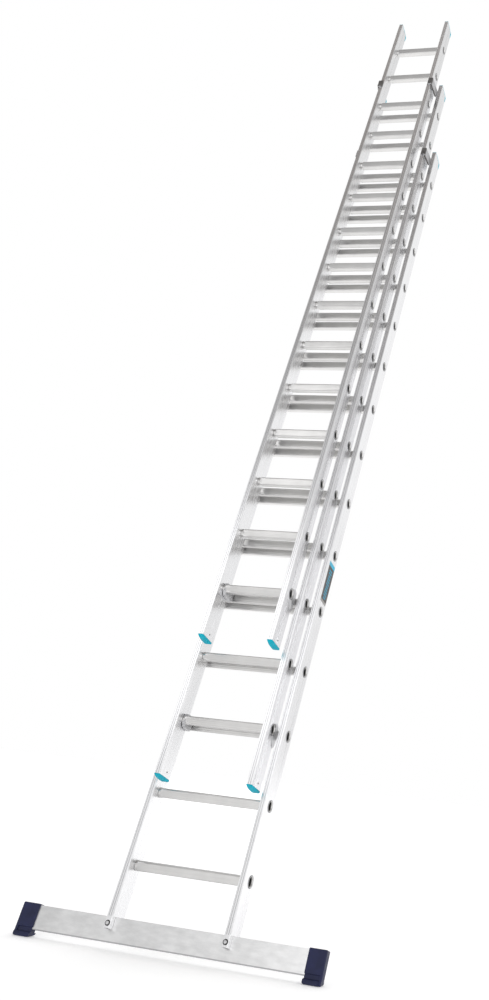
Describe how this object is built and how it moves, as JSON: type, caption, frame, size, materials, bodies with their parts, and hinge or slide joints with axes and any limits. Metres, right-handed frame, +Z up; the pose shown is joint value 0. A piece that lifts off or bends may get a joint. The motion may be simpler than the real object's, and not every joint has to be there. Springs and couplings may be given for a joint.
{
  "type": "extension ladder",
  "caption": "Three-section aluminium push-up extension ladder with box stiles, guide brackets and a wide stabiliser bar on rubber feet, shown part raised.",
  "frame": {"origin": "on the floor under the feet, at the centre of the bounding box in X and Y", "axes": "+Z up; +X across the ladder to the right of a climber who faces it; the ladder leans back toward +Y and is climbed from -Y"},
  "size_m": [1.11, 1.218, 4.8626],
  "materials": {
    "stile_aluminium": "mill, lightly brushed",
    "rung_aluminium": "mill, ribbed",
    "bar_aluminium": "mill, mottled",
    "guide_steel": "satin",
    "navy_rubber": "moulded",
    "zinc_steel": "zinc plated",
    "teal_plastic": "moulded",
    "label_film": "printed film"
  },
  "bodies": {
    "base_section": {"base_stile_left": "stile_aluminium", "base_stile_right": "stile_aluminium", "base_rung_1": "rung_aluminium", "base_rung_2": "rung_aluminium", "base_rung_3": "rung_aluminium", "base_rung_4": "rung_aluminium", "base_rung_5": "rung_aluminium", "base_rung_6": "rung_aluminium", "base_rung_7": "rung_aluminium", "base_rung_8": "rung_aluminium", "base_rung_9": "rung_aluminium", "base_rung_10": "rung_aluminium", "base_rung_11": "rung_aluminium", "base_rung_12": "rung_aluminium", "base_rung_13": "rung_aluminium", "base_rung_14": "rung_aluminium", "base_rung_15": "rung_aluminium", "base_guide_left": "guide_steel", "base_guide_right": "guide_steel", "stabiliser_bar": "bar_aluminium", "foot_left": "navy_rubber", "bar_bolt_left": "zinc_steel", "foot_right": "navy_rubber", "bar_bolt_right": "zinc_steel"},
    "mid_section": {"mid_stile_left": "stile_aluminium", "mid_stile_right": "stile_aluminium", "mid_rung_1": "rung_aluminium", "mid_rung_2": "rung_aluminium", "mid_rung_3": "rung_aluminium", "mid_rung_4": "rung_aluminium", "mid_rung_5": "rung_aluminium", "mid_rung_6": "rung_aluminium", "mid_rung_7": "rung_aluminium", "mid_rung_8": "rung_aluminium", "mid_rung_9": "rung_aluminium", "mid_rung_10": "rung_aluminium", "mid_rung_11": "rung_aluminium", "mid_rung_12": "rung_aluminium", "mid_rung_13": "rung_aluminium", "mid_rung_14": "rung_aluminium", "mid_rung_15": "rung_aluminium", "mid_guide_left": "guide_steel", "mid_guide_right": "guide_steel"},
    "top_section": {"top_stile_left": "stile_aluminium", "top_stile_right": "stile_aluminium", "top_rung_1": "rung_aluminium", "top_rung_2": "rung_aluminium", "top_rung_3": "rung_aluminium", "top_rung_4": "rung_aluminium", "top_rung_5": "rung_aluminium", "top_rung_6": "rung_aluminium", "top_rung_7": "rung_aluminium", "top_rung_8": "rung_aluminium", "top_rung_9": "rung_aluminium", "top_rung_10": "rung_aluminium", "top_rung_11": "rung_aluminium", "top_rung_12": "rung_aluminium", "top_rung_13": "rung_aluminium", "top_rung_14": "rung_aluminium", "top_rung_15": "rung_aluminium"}
  },
  "joints": [
    {"name": "middle_slide", "type": "slide", "parent": "base_section", "child": "mid_section", "axis": [0, 0.2588, 0.9659], "range_m": [-0.5, 2.5]},
    {"name": "top_slide", "type": "slide", "parent": "mid_section", "child": "top_section", "axis": [0, 0.2588, 0.9659], "range_m": [-0.5, 2.5]}
  ]
}
